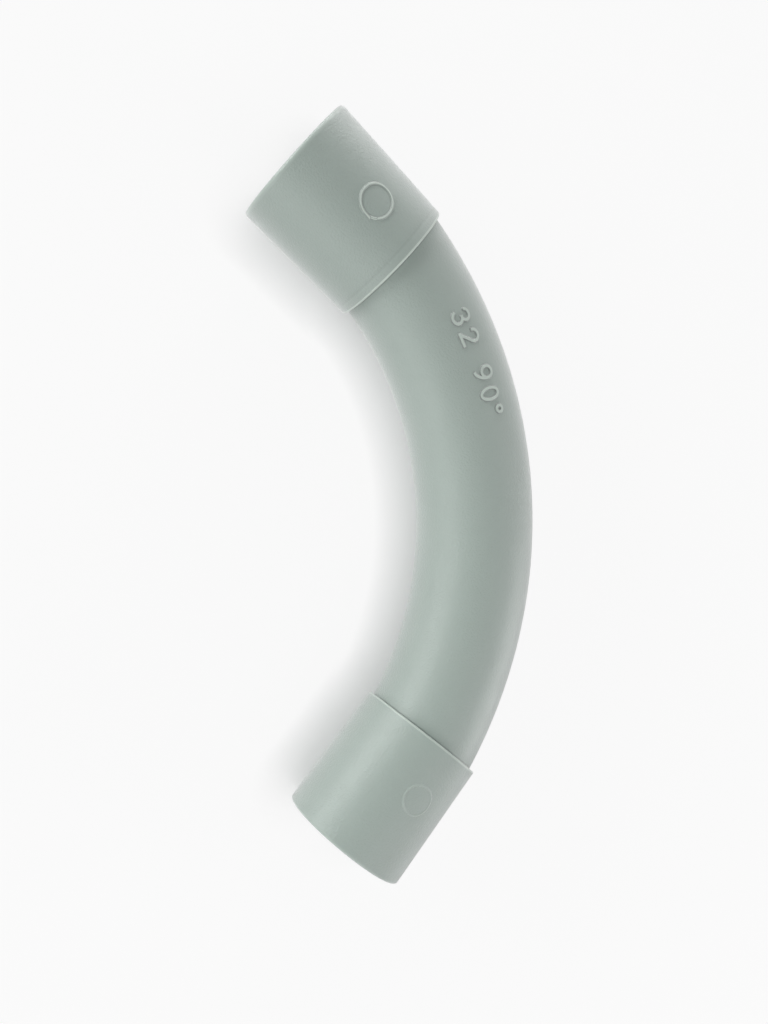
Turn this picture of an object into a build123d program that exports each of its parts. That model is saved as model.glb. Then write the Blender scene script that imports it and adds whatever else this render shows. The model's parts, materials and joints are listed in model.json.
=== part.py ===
"""Ninety degree elbow for 32 mm rigid plastic conduit, moulded in one piece.

A curved tube runs between two straight push-in sockets. Each socket has a bore that the conduit's end slides
into, up to a stop, and a square shoulder where it meets the tube. Millimetres, Z up. The elbow lies on its
two sockets, with the bend's plane level: one socket opens towards +X and the other towards +Y.
"""
from build123d import *
from math import radians, tan
import os

# Conduit and its fit in the sockets
conduit_diameter = 32.0
conduit_play = 0.15

# Curved tube
tube_diameter = 32.4
tube_wall = 1.9
bend_radius = 108.0
elbow_angle = 90.0
socket_lean = 9.0

# Sockets
socket_wall = 1.65
socket_length = 35.0
stop_thickness = 2.0
shoulder_chamfer = 0.4
lip_chamfer = 0.8
lead_in = 0.6

# Rings left by the mould's pins on the crown of each socket
ring_from_shoulder = 14.0
ring_line = 0.7
bold_ring_radius = 4.4
bold_ring_height = 0.25
faint_ring_radius = 4.1
faint_ring_height = 0.12

# Worked out from the sizes above
tube_radius = tube_diameter / 2
way_radius = tube_radius - tube_wall
socket_bore_radius = conduit_diameter / 2 + conduit_play
socket_radius = socket_bore_radius + socket_wall
bend_arc = elbow_angle - 2 * socket_lean
seat_arc = tan(radians(socket_lean)) * tube_radius / radians(bend_radius)


def bend(radius, arc):
    """Solid bar of round section, curved about Z and centred on the X axis."""
    section = Plane.XZ * Pos(bend_radius, 0) * Circle(radius)
    return Rot(0, 0, -arc / 2) * revolve(section, Axis.Z, arc)


def socket_plane(side):
    """Shoulder plane of one socket: on the tube's centreline, with its Z axis out of the mouth.

    Its X axis points up, to the crown of the socket. side is 1 or -1.
    """
    turn = side * bend_arc / 2
    centre = Vector(bend_radius, 0, 0).rotate(Axis.Z, turn)
    outward = Vector(0, side, 0).rotate(Axis.Z, turn + side * socket_lean)
    return Plane(origin=centre, x_dir=(0, 0, 1), z_dir=outward)


def along_socket(radius, start, length):
    """Cylinder on a socket's axis, which starts at a distance from its shoulder."""
    base = (Align.CENTER, Align.CENTER, Align.MIN)
    return Pos(0, 0, start) * Cylinder(radius, length, align=base)


def sleeve():
    """Outside of one socket, with the edges of its shoulder and lip broken."""
    body = along_socket(socket_radius, 0, socket_length)
    body = chamfer(body.edges().filter_by(GeomType.CIRCLE).sort_by(Axis.Z)[0], shoulder_chamfer)
    return chamfer(body.edges().filter_by(GeomType.CIRCLE).sort_by(Axis.Z)[-1], lip_chamfer)


def socket_bore():
    """Hollow of one socket: the throat at the shoulder, the conduit's bore and the lead-in at the mouth."""
    throat = Sphere(way_radius) + along_socket(way_radius, 0, socket_length)
    bore = along_socket(socket_bore_radius, stop_thickness, socket_length)
    mouth = Pos(0, 0, socket_length - lead_in) * Cone(
        socket_bore_radius, socket_bore_radius + 2 * lead_in, 2 * lead_in,
        align=(Align.CENTER, Align.CENTER, Align.MIN),
    )
    return throat + bore + mouth


def ring(radius, height):
    """Raised circle on the crown of a socket, which follows the socket's curve. The bore cuts its inner end."""
    crown = Plane(origin=(0, 0, ring_from_shoulder), x_dir=(0, 0, 1), z_dir=(1, 0, 0))
    line = Circle(radius + ring_line / 2) - Circle(radius - ring_line / 2)
    post = extrude(crown * line, 2 * socket_radius)
    return post & along_socket(socket_radius + height, 0, socket_length)


def elbow():
    """The whole moulding, with its bend centred on Z and its middle on the X axis."""
    ends = (socket_plane(1), socket_plane(-1))
    rings = (ring(bold_ring_radius, bold_ring_height), ring(faint_ring_radius, faint_ring_height))
    body = bend(tube_radius, bend_arc + 2 * seat_arc)
    way = bend(way_radius, bend_arc)
    for end, mark in zip(ends, rings):
        body += end * (sleeve() + mark)
        way += end * socket_bore()
    return body - way


def lying(piece):
    """Turns one socket to +X and the other to +Y, with the origin under the middle of the piece."""
    turned = Rot(0, 0, -90 - elbow_angle / 2) * piece
    box = turned.bounding_box()
    return Pos(-box.center().X, -box.center().Y, -box.min.Z) * turned


os.makedirs("parts", exist_ok=True)
export_step(lying(elbow()), "parts/elbow.step")
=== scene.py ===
"""Looks of a ninety degree elbow for 32 mm conduit, moulded in pale grey-green plastic.

The elbow lies on a white studio floor. Everything is in metres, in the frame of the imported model: one
socket opens towards +X, the other towards +Y. The two halves mirror each other across the plane x = y,
apart from their raised marks, sink lines and rounded edges.
"""
import json
from math import asin, atan2, cos, pi, radians, sin, sqrt, tan
import bmesh
import bpy
from mathutils import Matrix, Vector


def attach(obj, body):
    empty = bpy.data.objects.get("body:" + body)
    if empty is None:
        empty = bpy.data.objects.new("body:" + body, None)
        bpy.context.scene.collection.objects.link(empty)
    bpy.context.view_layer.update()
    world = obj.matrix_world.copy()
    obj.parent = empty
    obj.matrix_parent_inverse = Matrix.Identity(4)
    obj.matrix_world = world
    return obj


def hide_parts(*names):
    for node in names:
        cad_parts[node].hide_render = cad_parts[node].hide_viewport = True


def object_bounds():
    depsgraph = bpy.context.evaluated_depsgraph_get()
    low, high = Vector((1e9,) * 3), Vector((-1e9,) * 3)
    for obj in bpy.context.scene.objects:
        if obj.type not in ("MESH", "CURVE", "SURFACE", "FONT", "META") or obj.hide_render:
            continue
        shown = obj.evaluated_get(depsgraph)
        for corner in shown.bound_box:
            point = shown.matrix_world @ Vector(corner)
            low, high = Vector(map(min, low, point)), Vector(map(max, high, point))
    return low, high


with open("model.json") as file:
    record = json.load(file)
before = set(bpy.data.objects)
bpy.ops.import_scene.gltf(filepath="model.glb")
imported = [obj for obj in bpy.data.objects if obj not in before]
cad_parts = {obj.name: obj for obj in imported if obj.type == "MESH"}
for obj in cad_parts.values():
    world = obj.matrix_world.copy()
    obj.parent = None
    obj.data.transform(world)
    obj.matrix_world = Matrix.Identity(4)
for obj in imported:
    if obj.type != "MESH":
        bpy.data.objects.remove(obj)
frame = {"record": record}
cad_low, cad_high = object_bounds()

mm = 0.001

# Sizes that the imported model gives
socket = next(m for m in frame["record"]["mounts"] if m["name"] == "socket_x")
axis_y = socket["pos_m"][1]
axis_height = socket["pos_m"][2]
bore_radius = socket["dims"]["r_mm"] * mm
mouth_x = cad_high.x

# Sizes of the moulding
bend_radius = 108 * mm
bend_middle = radians(225)
bend_half_arc = radians(36)
socket_lean = radians(9)
tube_radius = 16.2 * mm
way_radius = 14.3 * mm
socket_radius = axis_height
socket_length = 35 * mm
stop_thickness = 2 * mm
lead_in = 0.6 * mm

# Edges that the mould leaves round: how deep the lip's round reaches into the wall, the break at both
# ends of the lead-in, and the round of the stop
lip_depth = 0.8 * mm
lead_in_break = 0.08 * mm
stop_round = 0.3 * mm

# What differs between the two ends: the round of the shoulder, the depth of the sink line, and the length
# of the lip's round
x_end = {"round": 0.42 * mm, "sink": 0.07 * mm, "lip": 1.25 * mm}
y_end = {"round": 0.35 * mm, "sink": 0.01 * mm, "lip": 0.8 * mm}

# Width of the band of painted highlight beside the shoulder's round, and of the painted shade in the
# corner between tube and shoulder
highlight_band = 0.15 * mm
corner_shade_width = 0.45 * mm

# Sink line round each socket, just past the stop inside: where it starts, is deepest and ends, from the
# shoulder
sink_from, sink_deepest, sink_to = 1.8 * mm, 2.6 * mm, 3.6 * mm

# Raised lines: width of the flat top, width of each side, height, and whether the top takes a painted
# highlight
bold_line = {"top": 0.38 * mm, "side": 0.26 * mm, "height": 0.24 * mm, "painted_highlight": True}
double_line = {"top": 0.26 * mm, "side": 0.15 * mm, "height": 0.14 * mm, "painted_highlight": True}
# The shade line is hardly raised: it paints shade at the inner foot of the bold ring
painted_shade_line = {"top": 0.12 * mm, "side": 0.1 * mm, "height": 0.012 * mm, "painted_highlight": False}
faint_line = {"top": 0.28 * mm, "side": 0.18 * mm, "height": 0.1 * mm, "painted_highlight": True}
figure_stroke = {"top": 0.7 * mm, "side": 0.28 * mm, "height": 0.33 * mm, "painted_highlight": True}

# Section of every raised line: how deep its root and its toe lie under the surface, and which shares of
# its height it has in the middle of its side and at the edge of its top
line_root = 0.2 * mm
line_toe = 0.01 * mm
side_share = 0.55
edge_share = 0.93

# A top takes the painted highlight where the line has more than this share of its height, so not at its
# very ends
highlight_share = 0.9

# Rings that the mould's pins leave on the crown of each socket: half widths along and across the socket,
# and how far their middle is from the crown, towards the outer side, and from the shoulder
bold_ring = {"along": 4.03 * mm, "across": 4.11 * mm, "aside": 0, "from_shoulder": 14.25 * mm}
faint_ring = {"along": 3.83 * mm, "across": 3.9 * mm, "aside": 0.35 * mm, "from_shoulder": 14.25 * mm}

# Line of the bold ring: the angles where it starts and where its spur leaves, in degrees from the mouth's
# side towards the inner side of the bend, how long the spur is, and how far it drifts outwards
ring_opens_at = 136
spur_leaves_at = 88
spur_length = 1.55 * mm
spur_drift = 0.08 * mm

# Stretch of the bold ring that has a double line, in degrees, and how far outside the ring its two lines
# and the painted shade at the ring's inner foot lie. Less than zero is inside the ring
double_from, double_to = 112, 154
double_inside, double_outside = -0.14 * mm, 0.2 * mm
shade_inside = -0.45 * mm

# Raised figures on the tube: their height, and how far they lean from the crown towards the outer side
figure_height = 5.7 * mm
figure_tilt = radians(4.5)

# How finely the meshes are divided
round_points = 192
bend_steps = 44
way_steps = 36
socket_steps = 14
bore_steps = 12
round_steps = 6
sink_steps = 6
lip_steps = 12
stop_steps = 4
ring_steps = 96
double_steps = 24
spur_steps = 8
cap_steps = 8
arc_steps = 20
stroke_steps = 10

# Turn of the rounded end of a raised line, a little short of a quarter so that it keeps a width
cap_turn = radians(86)

# Distance from an edge of the extra loop that keeps its shading narrow, on straight stretches and beside
# the band of painted highlight
guard = 0.25 * mm
highlight_guard = 0.2 * mm

# Edges sharper than these angles, in degrees, stay sharp
body_sharp = 35
line_sharp = 70

# Two shades of the plastic, mixed in soft clouds, and how much redder it gets where a tone is paler
shades = {"A": (0.320, 0.388, 0.352), "B": (0.342, 0.408, 0.372)}
paler_is_redder = 0.08

# How deep the grain is on the skin and where it is smoother, on the lip and under the painted highlights,
# and the waves under it
skin_grain = 0.14 * mm
smooth_grain = 0.03 * mm
wave_depth = 0.04 * mm

# Each tone of the plastic: how much paler or darker than the plain one, and its grain. Apart from the
# plain one, the tones paint light and shade into the colour: shade in the corner by the shoulder, in the
# sink line and on the sides of raised lines, and highlights on the lip, the shoulders' rounds and the tops
# of raised lines
tones = {
    "plain": (1.0, skin_grain),
    "lip": (1.05, smooth_grain),
    "painted_sink_shade": (0.92, skin_grain),
    "painted_shade": (0.72, skin_grain),
    "painted_corner_shade": (0.66, skin_grain),
    "painted_deep_shade": (0.5, skin_grain),
    "faint_painted_highlight": (1.15, smooth_grain),
    "light_painted_highlight": (1.4, smooth_grain),
    "painted_highlight": (1.5, smooth_grain),
    "strong_painted_highlight": (1.65, smooth_grain),
}

# Tones of the moulding, and which of them each band takes at the X end and at the Y end. The corner and
# the X end's sink line take painted shade, the shoulder and the lip a painted highlight
body_tones = ("plain", "painted_corner_shade", "strong_painted_highlight", "light_painted_highlight", "painted_sink_shade", "lip")
x_band_tones = {"corner": "painted_corner_shade", "shoulder": "strong_painted_highlight", "sink": "painted_sink_shade", "lip": "lip"}
y_band_tones = {"corner": "painted_corner_shade", "shoulder": "light_painted_highlight", "lip": "lip"}

# Each softbox: turn and rise in degrees, width and height in metres, power in watts
softboxes = {
    "softbox_outer_side": (-50, 16, 0.9, 0.44, 1.63),
    "softbox_inner_side": (40, 16, 0.9, 0.44, 1.03),
    "softbox_y_end": (85, 16, 0.9, 0.44, 1.59),
    "softbox_above_y_side": (130, 45, 0.9, 0.6, 2.26),
    "softbox_above_bend": (220, 45, 0.9, 0.6, 0.83),
    "strip_x_end": (12, 12, 0.55, 0.33, 1.46),
    "strip_outer_x_end": (-2, 12, 0.55, 0.33, 2.12),
    "strip_outer_side": (-60, 8, 0.8, 0.22, 1.51),
    "strip_outer_y_side": (195, 12, 0.5, 0.3, 1.98),
}

# How far every softbox stands from the elbow, and how strong the even light of the room is
softbox_distance = 0.8
room_light = 0.05

# The floor ends where the softboxes stand, so that no unlit floor shows behind them. The camera sees this
# share of plain white in it, and less within this reach of the elbow
floor_radius = softbox_distance
floor_lift = 0.88
contact_reach = 0.013
paper_white = (0.92, 0.92, 0.92, 1)
plain_white = (1, 1, 1, 1)

# Camera: lens and sensor in millimetres, nearest distance that it shows, place, the direction that its
# back faces, and the direction that is up in the picture
camera_lens = 27.1
camera_sensor = 36
camera_nearest = 0.01
camera_place = Vector((60.25, 39.45, 208.9)) * mm
camera_back = Vector((0.3173, 0.2043, 0.9261))
picture_up = Vector((0.6379, -0.7685, -0.0490))

# Worked out from the sizes above
shoulder_x = mouth_x - socket_length
end_angle = bend_middle + bend_half_arc
bend_centre = Vector((
    shoulder_x - bend_radius * cos(end_angle),
    axis_y - bend_radius * sin(end_angle),
    axis_height,
))
shoulder_reach = bend_centre.x - shoulder_x


def around():
    """Evenly spaced angles of one loop. On the elbow they go from the outer side over the crown."""
    return [2 * pi * i / round_points for i in range(round_points)]


def socket_loop(x, radius):
    """Circle about the socket's axis."""
    return [Vector((x, axis_y - radius * cos(p), axis_height + radius * sin(p))) for p in around()]


def torus_point(radius, turn, p):
    """Point of a bent tube: turn is the angle along the bend, p the angle round the section."""
    reach = bend_radius + radius * cos(p)
    return bend_centre + Vector((reach * cos(turn), reach * sin(turn), radius * sin(p)))


def angle_at_shoulder(radius, p):
    """Angle along the bend at which a line of the tube meets the socket's shoulder plane."""
    return 1.5 * pi - asin(shoulder_reach / (bend_radius + radius * cos(p)))


def mitre_angle(radius, p):
    """Angle along the bend at which a line of the way meets the plane midway between tube and socket."""
    aside = radius * cos(p)
    return end_angle + atan2(aside * tan(socket_lean / 2), bend_radius + aside)


def bend_loops(radius, last_angle, steps, corner=0.0):
    """Loops of the bent tube, from the middle of the bend to where each line of it ends.

    A corner above zero adds one loop at that distance before the last.
    """
    shares = [k / steps for k in range(steps + 1)]
    if corner:
        shares.insert(-1, 1 - corner / (bend_radius * bend_half_arc))
    loops = []
    for share in shares:
        turns = [bend_middle + share * (last_angle(radius, p) - bend_middle) for p in around()]
        loops.append([torus_point(radius, turn, p) for turn, p in zip(turns, around())])
    return loops


def quarter(x, radius, along, across, start, stop, steps=round_steps):
    """Loops over a rounded edge. The round's centre is at x and radius, its angles are in the section."""
    loops = []
    for k in range(steps + 1):
        a = start + (stop - start) * k / steps
        loops.append(socket_loop(x + along * cos(a), radius + across * sin(a)))
    return loops


def straight(x0, x1, radius, steps):
    """Loops along a straight stretch, without its two ends, with a guard loop close to each."""
    sign = 1 if x1 > x0 else -1
    inner = [x0 + (x1 - x0) * k / steps for k in range(1, steps)]
    return [socket_loop(x, radius) for x in [x0 + sign * guard, *inner, x1 - sign * guard]]


def sink_loops(level_at, deepest_at, depth):
    """Loops of one side of the sink line, from where the socket's skin is level to where it is deepest."""
    loops = []
    for k in range(sink_steps + 1):
        share = k / sink_steps
        x = shoulder_x + level_at + (deepest_at - level_at) * share
        fall = depth * share * share * (3 - 2 * share)
        loops.append(socket_loop(x, socket_radius - fall))
    return loops


def half_skin(end):
    """Loops of one half of the moulding: out along the tube, over the socket, back through its bore.

    Returns also the names of the bands between two loops that aren't plain, where shade or a highlight is
    painted. They are the same for both ends.
    """
    bands = {}
    loops = bend_loops(tube_radius, angle_at_shoulder, bend_steps, corner_shade_width)
    # The last band of the tube before the shoulder takes painted shade
    bands[len(loops) - 2] = "corner"

    edge = end["round"]
    first = len(loops)
    loops += quarter(shoulder_x + edge, socket_radius - edge, edge, edge, pi, pi / 2)
    loops += [socket_loop(shoulder_x + edge + highlight_band, socket_radius)]
    # The shoulder's round and the band beside it take a painted highlight
    bands.update({k: "shoulder" for k in range(first, len(loops) - 1)})
    loops += [socket_loop(shoulder_x + edge + highlight_band + highlight_guard, socket_radius)]

    loops += sink_loops(sink_from, sink_deepest, end["sink"])
    deepest = len(loops) - 1
    loops += sink_loops(sink_to, sink_deepest, end["sink"])[-2::-1]
    # The middle of the sink line takes painted shade at the X end
    bands.update({k: "sink" for k in range(deepest - sink_steps // 3, deepest + sink_steps // 3)})

    lip_from = mouth_x - end["lip"]
    loops += straight(shoulder_x + sink_to, lip_from, socket_radius, socket_steps)
    first = len(loops)
    loops += quarter(lip_from, socket_radius - lip_depth, end["lip"], lip_depth, pi / 2, 0, lip_steps)
    rim = bore_radius + lead_in
    loops += [socket_loop(mouth_x, rim + lead_in_break), socket_loop(mouth_x - lead_in_break, rim)]
    loops += [socket_loop(mouth_x - lead_in, bore_radius + lead_in_break)]
    # The lip's round and the lead-in take a slightly paler tone, a faint painted highlight
    bands.update({k: "lip" for k in range(first, len(loops) - 1)})

    stop_x = shoulder_x + stop_thickness
    loops += straight(mouth_x - lead_in, stop_x, bore_radius, bore_steps)
    loops += [socket_loop(stop_x, bore_radius)]
    edge = stop_round
    loops += quarter(stop_x - edge, way_radius + edge, edge, edge, 0, -pi / 2, stop_steps)
    throat = bend_loops(way_radius, mitre_angle, way_steps)
    return loops + throat[::-1], bands


def mesh_object(name, vertices, faces, sharp):
    """Object with a smooth-shaded mesh, whose edges above an angle in degrees stay sharp."""
    mesh = bpy.data.meshes.new(name)
    mesh.from_pydata([tuple(v) for v in vertices], [], faces)
    bm = bmesh.new()
    bm.from_mesh(mesh)
    bmesh.ops.recalc_face_normals(bm, faces=bm.faces)
    bm.to_mesh(mesh)
    bm.free()
    mesh.polygons.foreach_set("use_smooth", [True] * len(mesh.polygons))
    mesh.set_sharp_from_angle(angle=radians(sharp))
    piece = bpy.data.objects.new(name, mesh)
    bpy.context.scene.collection.objects.link(piece)
    return piece


def mirrored(points):
    """The same points across the plane x = y."""
    return [Vector((v.y, v.x, v.z)) for v in points]


def moulding():
    """The whole elbow as one closed skin: the X half and the mirrored Y half, which share two loops."""
    x_loops, bands = half_skin(x_end)
    y_loops = half_skin(y_end)[0]
    n = round_points
    last = len(x_loops) - 1
    vertices = [v for loop in x_loops for v in loop]
    y_starts = {0: 0, last: last * n}
    for k in range(1, last):
        y_starts[k] = len(vertices)
        vertices += mirrored(y_loops[k])
    faces, materials = [], []
    for k in range(last):
        a, b = y_starts[k], y_starts[k + 1]
        for i in range(n):
            j = (i + 1) % n
            faces.append((k * n + i, k * n + j, (k + 1) * n + j, (k + 1) * n + i))
            faces.append((a + j, a + i, b + i, b + j))
        pair = [band_tones.get(bands.get(k), "plain") for band_tones in (x_band_tones, y_band_tones)]
        materials += [body_tones.index(tone) for tone in pair] * n
    piece = mesh_object("moulded_elbow", vertices, faces, body_sharp)
    piece.data.polygons.foreach_set("material_index", materials)
    return piece


def line_section(line):
    """Points across a raised line, from one root over the top to the other: how far aside, how high."""
    half_top = line["top"] / 2
    half_foot = half_top + line["side"]
    half = [
        (half_foot, -line_root),
        (half_foot, -line_toe),
        (half_foot - line["side"] / 2, side_share * line["height"]),
        (half_top, edge_share * line["height"]),
        (half_top / 2, line["height"]),
        (0, line["height"]),
    ]
    return half + [(-across, up) for across, up in half[-2::-1]]


def line_rows(path, closed):
    """For each point of a line: point, normal, direction across, and the shares of width and height."""
    rows = []
    count = len(path)
    for i, (point, normal) in enumerate(path):
        before = path[i - 1][0] if closed or i > 0 else point
        after = path[(i + 1) % count][0] if closed or i < count - 1 else point
        along = (after - before).normalized()
        rows.append((point, normal, normal.cross(along).normalized(), 1.0, 1.0))
    return rows


def end_cap(end_row, next_row, line):
    """Rows that round off one end of an open line, outwards from its last row."""
    point, normal, side = end_row[:3]
    outward = (point - next_row[0]).normalized()
    half_foot = line["top"] / 2 + line["side"]
    rows = []
    for k in range(1, cap_steps + 1):
        b = cap_turn * k / cap_steps
        reach = half_foot * sin(b)
        height = min(1, (half_foot - reach) / line["side"])
        rows.append((point + outward * reach, normal, side, cos(b), height))
    return rows


def ridge(path, line, closed):
    """Raised line: vertices, faces, and for each face whether it belongs to a top with painted highlight.

    path holds points on the surface with their normals. An open line has round ends.
    """
    section = line_section(line)
    rows = line_rows(path, closed)
    if not closed:
        rows = end_cap(rows[0], rows[1], line)[::-1] + rows + end_cap(rows[-1], rows[-2], line)
    vertices = []
    for point, normal, side, width, height in rows:
        for across, up in section:
            rise = up * height if up > 0 else up
            vertices.append(point + side * across * width + normal * rise)
    n = len(section)
    total = len(rows)
    on_top = [abs(across) <= line["top"] / 2 for across, up in section]
    faces, tops = [], []
    for k in range(total if closed else total - 1):
        a, b = k * n, (k + 1) % total * n
        level = min(rows[k][4], rows[(k + 1) % total][4]) > highlight_share
        for i in range(n):
            j = (i + 1) % n
            faces.append((a + i, a + j, b + j, b + i))
            tops.append(line["painted_highlight"] and level and on_top[i] and on_top[j])
    if not closed:
        faces.append(tuple(range(n)))
        faces.append(tuple(range((total - 1) * n, total * n))[::-1])
        tops += [False, False]
    return vertices, faces, tops


def raised_piece(name, lines, on_y_socket=False):
    """One object of raised lines. lines holds for each its path, its sizes and whether it is closed."""
    vertices, faces, tops = [], [], []
    for path, line, closed in lines:
        first = len(vertices)
        new_vertices, new_faces, new_tops = ridge(path, line, closed)
        vertices += new_vertices
        faces += [tuple(first + i for i in face) for face in new_faces]
        tops += new_tops
    if on_y_socket:
        vertices = mirrored(vertices)
    piece = mesh_object(name, vertices, faces, line_sharp)
    # The tops take the second tone, a painted highlight, and the rest the first
    piece.data.polygons.foreach_set("material_index", [1 if top else 0 for top in tops])
    return piece


def on_socket(along, across, ring):
    """Point and normal on the socket, at a distance along and across it from the ring's middle."""
    aside = (across - ring["aside"]) / socket_radius
    normal = Vector((0, aside, sqrt(1 - aside ** 2)))
    axis_point = Vector((shoulder_x + ring["from_shoulder"] + along, axis_y, axis_height))
    return axis_point + normal * socket_radius, normal


def ring_path(ring, start, stop, out=0.0, steps=ring_steps):
    """Points of a pin's ring between two angles in degrees, which start at the mouth's side."""
    path = []
    for k in range(steps):
        b = radians(start + (stop - start) * k / (steps - 1))
        path.append(on_socket((ring["along"] + out) * cos(b), (ring["across"] + out) * sin(b), ring))
    return path


def whole_ring_path(ring, out=0.0):
    """Points of a closed ring, of which the last lies one step before the first."""
    return ring_path(ring, 0, 360 - 360 / ring_steps, out)


def bold_pin_ring():
    """Ring whose line starts as a double line and ends in a short spur. Its sides and a low line at its
    inner foot carry painted shade.
    """
    ring = bold_ring
    path = ring_path(ring, ring_opens_at, 360 + spur_leaves_at)
    leave = radians(spur_leaves_at)
    for k in range(1, spur_steps + 1):
        along = ring["along"] * cos(leave) - spur_length * k / spur_steps
        across = ring["across"] * sin(leave) + spur_drift * k / spur_steps
        path.append(on_socket(along, across, ring))
    lines = [(path, bold_line, False)]
    for out in (double_inside, double_outside):
        lines.append((ring_path(ring, double_from, double_to, out, double_steps), double_line, False))
    lines.append((whole_ring_path(ring, shade_inside), painted_shade_line, True))
    return raised_piece("pin_ring_bold", lines)


def faint_pin_ring():
    """Closed low ring on the other socket."""
    lines = [(whole_ring_path(faint_ring), faint_line, True)]
    return raised_piece("pin_ring_faint", lines, on_y_socket=True)


def arc(centre, radius_across, radius_up, start, stop, steps=arc_steps):
    """Points of an arc in a figure's own plane, angles in degrees."""
    points = []
    for k in range(steps + 1):
        a = radians(start + (stop - start) * k / steps)
        points.append((centre[0] + radius_across * cos(a), centre[1] + radius_up * sin(a)))
    return points


def line_of(start, stop, steps=stroke_steps):
    """Points of a straight stroke in a figure's own plane."""
    return [
        (start[0] + (stop[0] - start[0]) * k / steps, start[1] + (stop[1] - start[1]) * k / steps)
        for k in range(steps + 1)
    ]


# Each figure is one unit high: its strokes, and whether a stroke is closed
three = [
    (arc((0.0, 0.76), 0.27, 0.24, 160, -88), False),
    (arc((0.0, 0.26), 0.3, 0.26, 88, -160), False),
]
two_bowl = arc((0.0, 0.71), 0.29, 0.29, 170, -38)
two = [
    (two_bowl + line_of(two_bowl[-1], (-0.3, 0.0))[1:], False),
    (line_of((-0.3, 0.0), (0.31, 0.0)), False),
]
nine = [
    (arc((0.0, 0.69), 0.29, 0.31, 0, 360)[:-1], True),
    (arc((-0.2, 0.67), 0.49, 0.67, 0, -80), False),
]
nought = [(arc((0.0, 0.5), 0.29, 0.5, 0, 360, steps=32)[:-1], True)]
degree = [(arc((0.0, 0.83), 0.17, 0.17, 0, 360, steps=16)[:-1], True)]

# Figures and the angle along the bend, from its middle towards the +X socket, at which each one stands
figures = ((three, 25.4), (two, 22.5), (nine, 17.4), (nought, 14.5), (degree, 12.2))


def raised_figures():
    """Plain size figures on the crown side of the tube, read away from the +X socket."""
    lines = []
    size = figure_height - figure_stroke["top"]
    for strokes, place in figures:
        for points, closed in strokes:
            path = []
            for across, up in points:
                turn = bend_middle + radians(place) - across * size / bend_radius
                lean = figure_tilt + (up - 0.5) * size / tube_radius
                outward = Vector((cos(turn), sin(turn), 0))
                normal = outward * sin(lean) + Vector((0, 0, cos(lean)))
                path.append((bend_centre + outward * bend_radius + normal * tube_radius, normal))
            lines.append((path, figure_stroke, closed))
    return raised_piece("raised_figures", lines)


def node(tree, kind, inputs=None, **settings):
    """New shader node, with its settings and the values of its sockets."""
    made = tree.nodes.new(kind)
    for name, value in settings.items():
        setattr(made, name, value)
    for name, value in (inputs or {}).items():
        made.inputs[name].default_value = value
    return made


def empty_tree(owner):
    """Node tree of a material or world, with nothing in it."""
    owner.use_nodes = True
    owner.node_tree.nodes.clear()
    return owner.node_tree


def moulded_plastic(name, tint, grain_depth):
    """Satin grey-green plastic with the fine grain of a moulding. tint makes its colour paler or darker,
    to paint a highlight or shade into it.

    What is paler has a warmer shade.
    """
    material = bpy.data.materials.new(name)
    tree = empty_tree(material)
    link = tree.links.new
    out = node(tree, "ShaderNodeOutputMaterial")
    plastic = node(tree, "ShaderNodeBsdfPrincipled", {
        "IOR": 1.5,
        "Specular IOR Level": 0.8,
        "Sheen Weight": 1.0,
        "Sheen Roughness": 0.5,
    })
    link(plastic.outputs[0], out.inputs["Surface"])
    place = node(tree, "ShaderNodeTexCoord")

    cloud = node(tree, "ShaderNodeTexNoise", {"Scale": 55.0, "Detail": 3.0, "Roughness": 0.55})
    link(place.outputs["Object"], cloud.inputs["Vector"])
    tone = node(tree, "ShaderNodeMix", data_type="RGBA")
    warm = tint * (1 + paler_is_redder * max(0, tint - 1))
    for side, (red, green, blue) in shades.items():
        tone.inputs[side].default_value = (red * warm, green * tint, blue * tint, 1)
    link(cloud.outputs["Fac"], tone.inputs["Factor"])
    link(tone.outputs["Result"], plastic.inputs["Base Color"])

    grain = node(tree, "ShaderNodeTexNoise", {"Scale": 1900.0, "Detail": 2.0, "Roughness": 0.6})
    link(place.outputs["Object"], grain.inputs["Vector"])
    gloss = node(tree, "ShaderNodeMapRange", {"To Min": 0.37, "To Max": 0.49})
    link(grain.outputs["Fac"], gloss.inputs["Value"])
    link(gloss.outputs["Result"], plastic.inputs["Roughness"])

    waves = node(tree, "ShaderNodeTexNoise", {"Scale": 70.0, "Detail": 1.0, "Roughness": 0.4})
    link(place.outputs["Object"], waves.inputs["Vector"])
    wavy = node(tree, "ShaderNodeBump", {"Strength": 0.5, "Distance": wave_depth})
    link(waves.outputs["Fac"], wavy.inputs["Height"])
    skin = node(tree, "ShaderNodeBump", {"Strength": 1.0, "Distance": grain_depth})
    link(grain.outputs["Fac"], skin.inputs["Height"])
    link(wavy.outputs["Normal"], skin.inputs["Normal"])
    link(skin.outputs["Normal"], plastic.inputs["Normal"])
    return material


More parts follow.
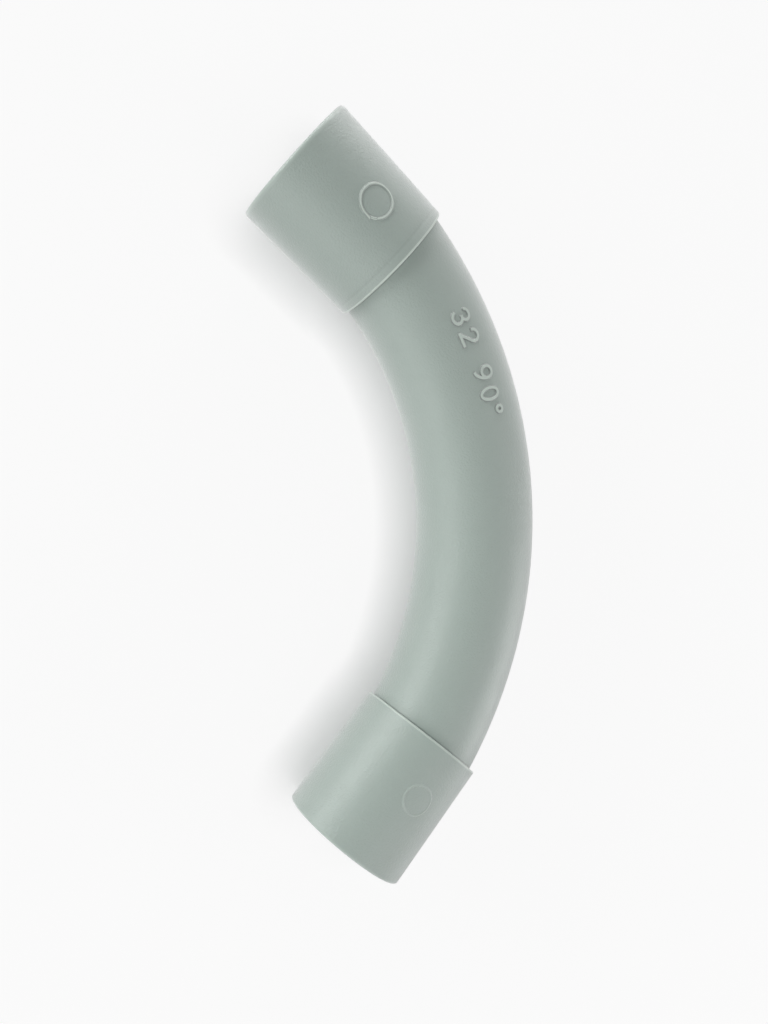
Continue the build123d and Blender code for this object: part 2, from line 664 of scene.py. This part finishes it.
def seen_white(tree, lit, white, camera_share, contact=None):
    """Mixes in plain white: a share of it for the camera, all of it for reflections and clear materials.

    contact is a node output that is 1, and falls to 0 where something stands close by. There the camera
    sees less of the white and more of the shadow.
    """
    rays = node(tree, "ShaderNodeLightPath")
    share = node(tree, "ShaderNodeMath", {1: camera_share}, operation="MULTIPLY")
    tree.links.new(rays.outputs["Is Camera Ray"], share.inputs[0])
    if contact:
        nearby = node(tree, "ShaderNodeMath", operation="MULTIPLY")
        tree.links.new(share.outputs[0], nearby.inputs[0])
        tree.links.new(contact, nearby.inputs[1])
        share = nearby
    for output in ("Is Glossy Ray", "Is Transmission Ray"):
        larger = node(tree, "ShaderNodeMath", operation="MAXIMUM")
        tree.links.new(share.outputs[0], larger.inputs[0])
        tree.links.new(rays.outputs[output], larger.inputs[1])
        share = larger
    mix = node(tree, "ShaderNodeMixShader")
    tree.links.new(share.outputs[0], mix.inputs["Fac"])
    tree.links.new(lit.outputs[0], mix.inputs[1])
    tree.links.new(white.outputs[0], mix.inputs[2])
    return mix


def white_floor():
    """Round white studio floor, which keeps the elbow's shadow."""
    material = bpy.data.materials.new("studio_floor")
    tree = empty_tree(material)
    out = node(tree, "ShaderNodeOutputMaterial")
    paper = node(tree, "ShaderNodeBsdfDiffuse", {"Color": paper_white})
    white = node(tree, "ShaderNodeEmission", {"Color": plain_white, "Strength": 1.0})
    contact = node(tree, "ShaderNodeAmbientOcclusion", {"Distance": contact_reach}, samples=4)
    mixed = seen_white(tree, paper, white, floor_lift, contact.outputs["AO"])
    tree.links.new(mixed.outputs[0], out.inputs["Surface"])
    rim = [(floor_radius * cos(a), floor_radius * sin(a), 0) for a in around()]
    mesh = bpy.data.meshes.new("floor")
    mesh.from_pydata(rim, [], [range(round_points)])
    mesh.materials.append(material)
    floor = bpy.data.objects.new("floor", mesh)
    bpy.context.scene.collection.objects.link(floor)


def studio_world():
    """Even white light from all around, with plain white for what is seen."""
    world = bpy.data.worlds.new("studio")
    bpy.context.scene.world = world
    tree = empty_tree(world)
    out = node(tree, "ShaderNodeOutputWorld")
    light = node(tree, "ShaderNodeBackground", {"Color": plain_white, "Strength": room_light})
    white = node(tree, "ShaderNodeBackground", {"Color": plain_white, "Strength": 1.0})
    tree.links.new(seen_white(tree, light, white, 1.0).outputs[0], out.inputs["Surface"])


def softbox(name, turn, rise, width, height, power):
    """Rectangular lamp of white light that faces the elbow.

    turn is from +X round Z, rise is from the floor.
    """
    lamp = bpy.data.lights.new(name, "AREA")
    lamp.shape = "RECTANGLE"
    lamp.size = width
    lamp.size_y = height
    lamp.energy = power
    made = bpy.data.objects.new(name, lamp)
    bpy.context.scene.collection.objects.link(made)
    a, e = radians(turn), radians(rise)
    reach = Vector((cos(e) * cos(a), cos(e) * sin(a), sin(e))) * softbox_distance
    made.location = Vector((0, 0, axis_height)) + reach
    made.rotation_euler = (-reach).to_track_quat("-Z", "Y").to_euler()
    made.visible_camera = False


def camera():
    """Camera at the photograph's viewing angle."""
    data = bpy.data.cameras.new("camera")
    data.lens = camera_lens
    data.sensor_width = camera_sensor
    data.clip_start = camera_nearest
    made = bpy.data.objects.new("camera", data)
    bpy.context.scene.collection.objects.link(made)
    back = camera_back.normalized()
    right = picture_up.cross(back).normalized()
    up = back.cross(right)
    turned = Matrix((right, up, back)).transposed().to_4x4()
    made.matrix_world = Matrix.Translation(camera_place) @ turned
    bpy.context.scene.camera = made


plastics = {name: moulded_plastic(name + "_plastic", *tone) for name, tone in tones.items()}
body = moulding()

# Each piece and its tones. On raised lines the second tone is a painted highlight on the tops, and the
# first paints shade on the sides, except on the faint ring, where it is the plain one
looks = (
    (body, body_tones),
    (bold_pin_ring(), ("painted_shade", "strong_painted_highlight")),
    (faint_pin_ring(), ("plain", "faint_painted_highlight")),
    # The figures' sides take a deep painted shade
    (raised_figures(), ("painted_deep_shade", "painted_highlight")),
)
for piece, tone_names in looks:
    for name in tone_names:
        piece.data.materials.append(plastics[name])
    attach(piece, "root")
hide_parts("elbow")

white_floor()
studio_world()
for name, setting in softboxes.items():
    softbox(name, *setting)
camera()

bpy.context.scene.view_settings.view_transform = "Standard"
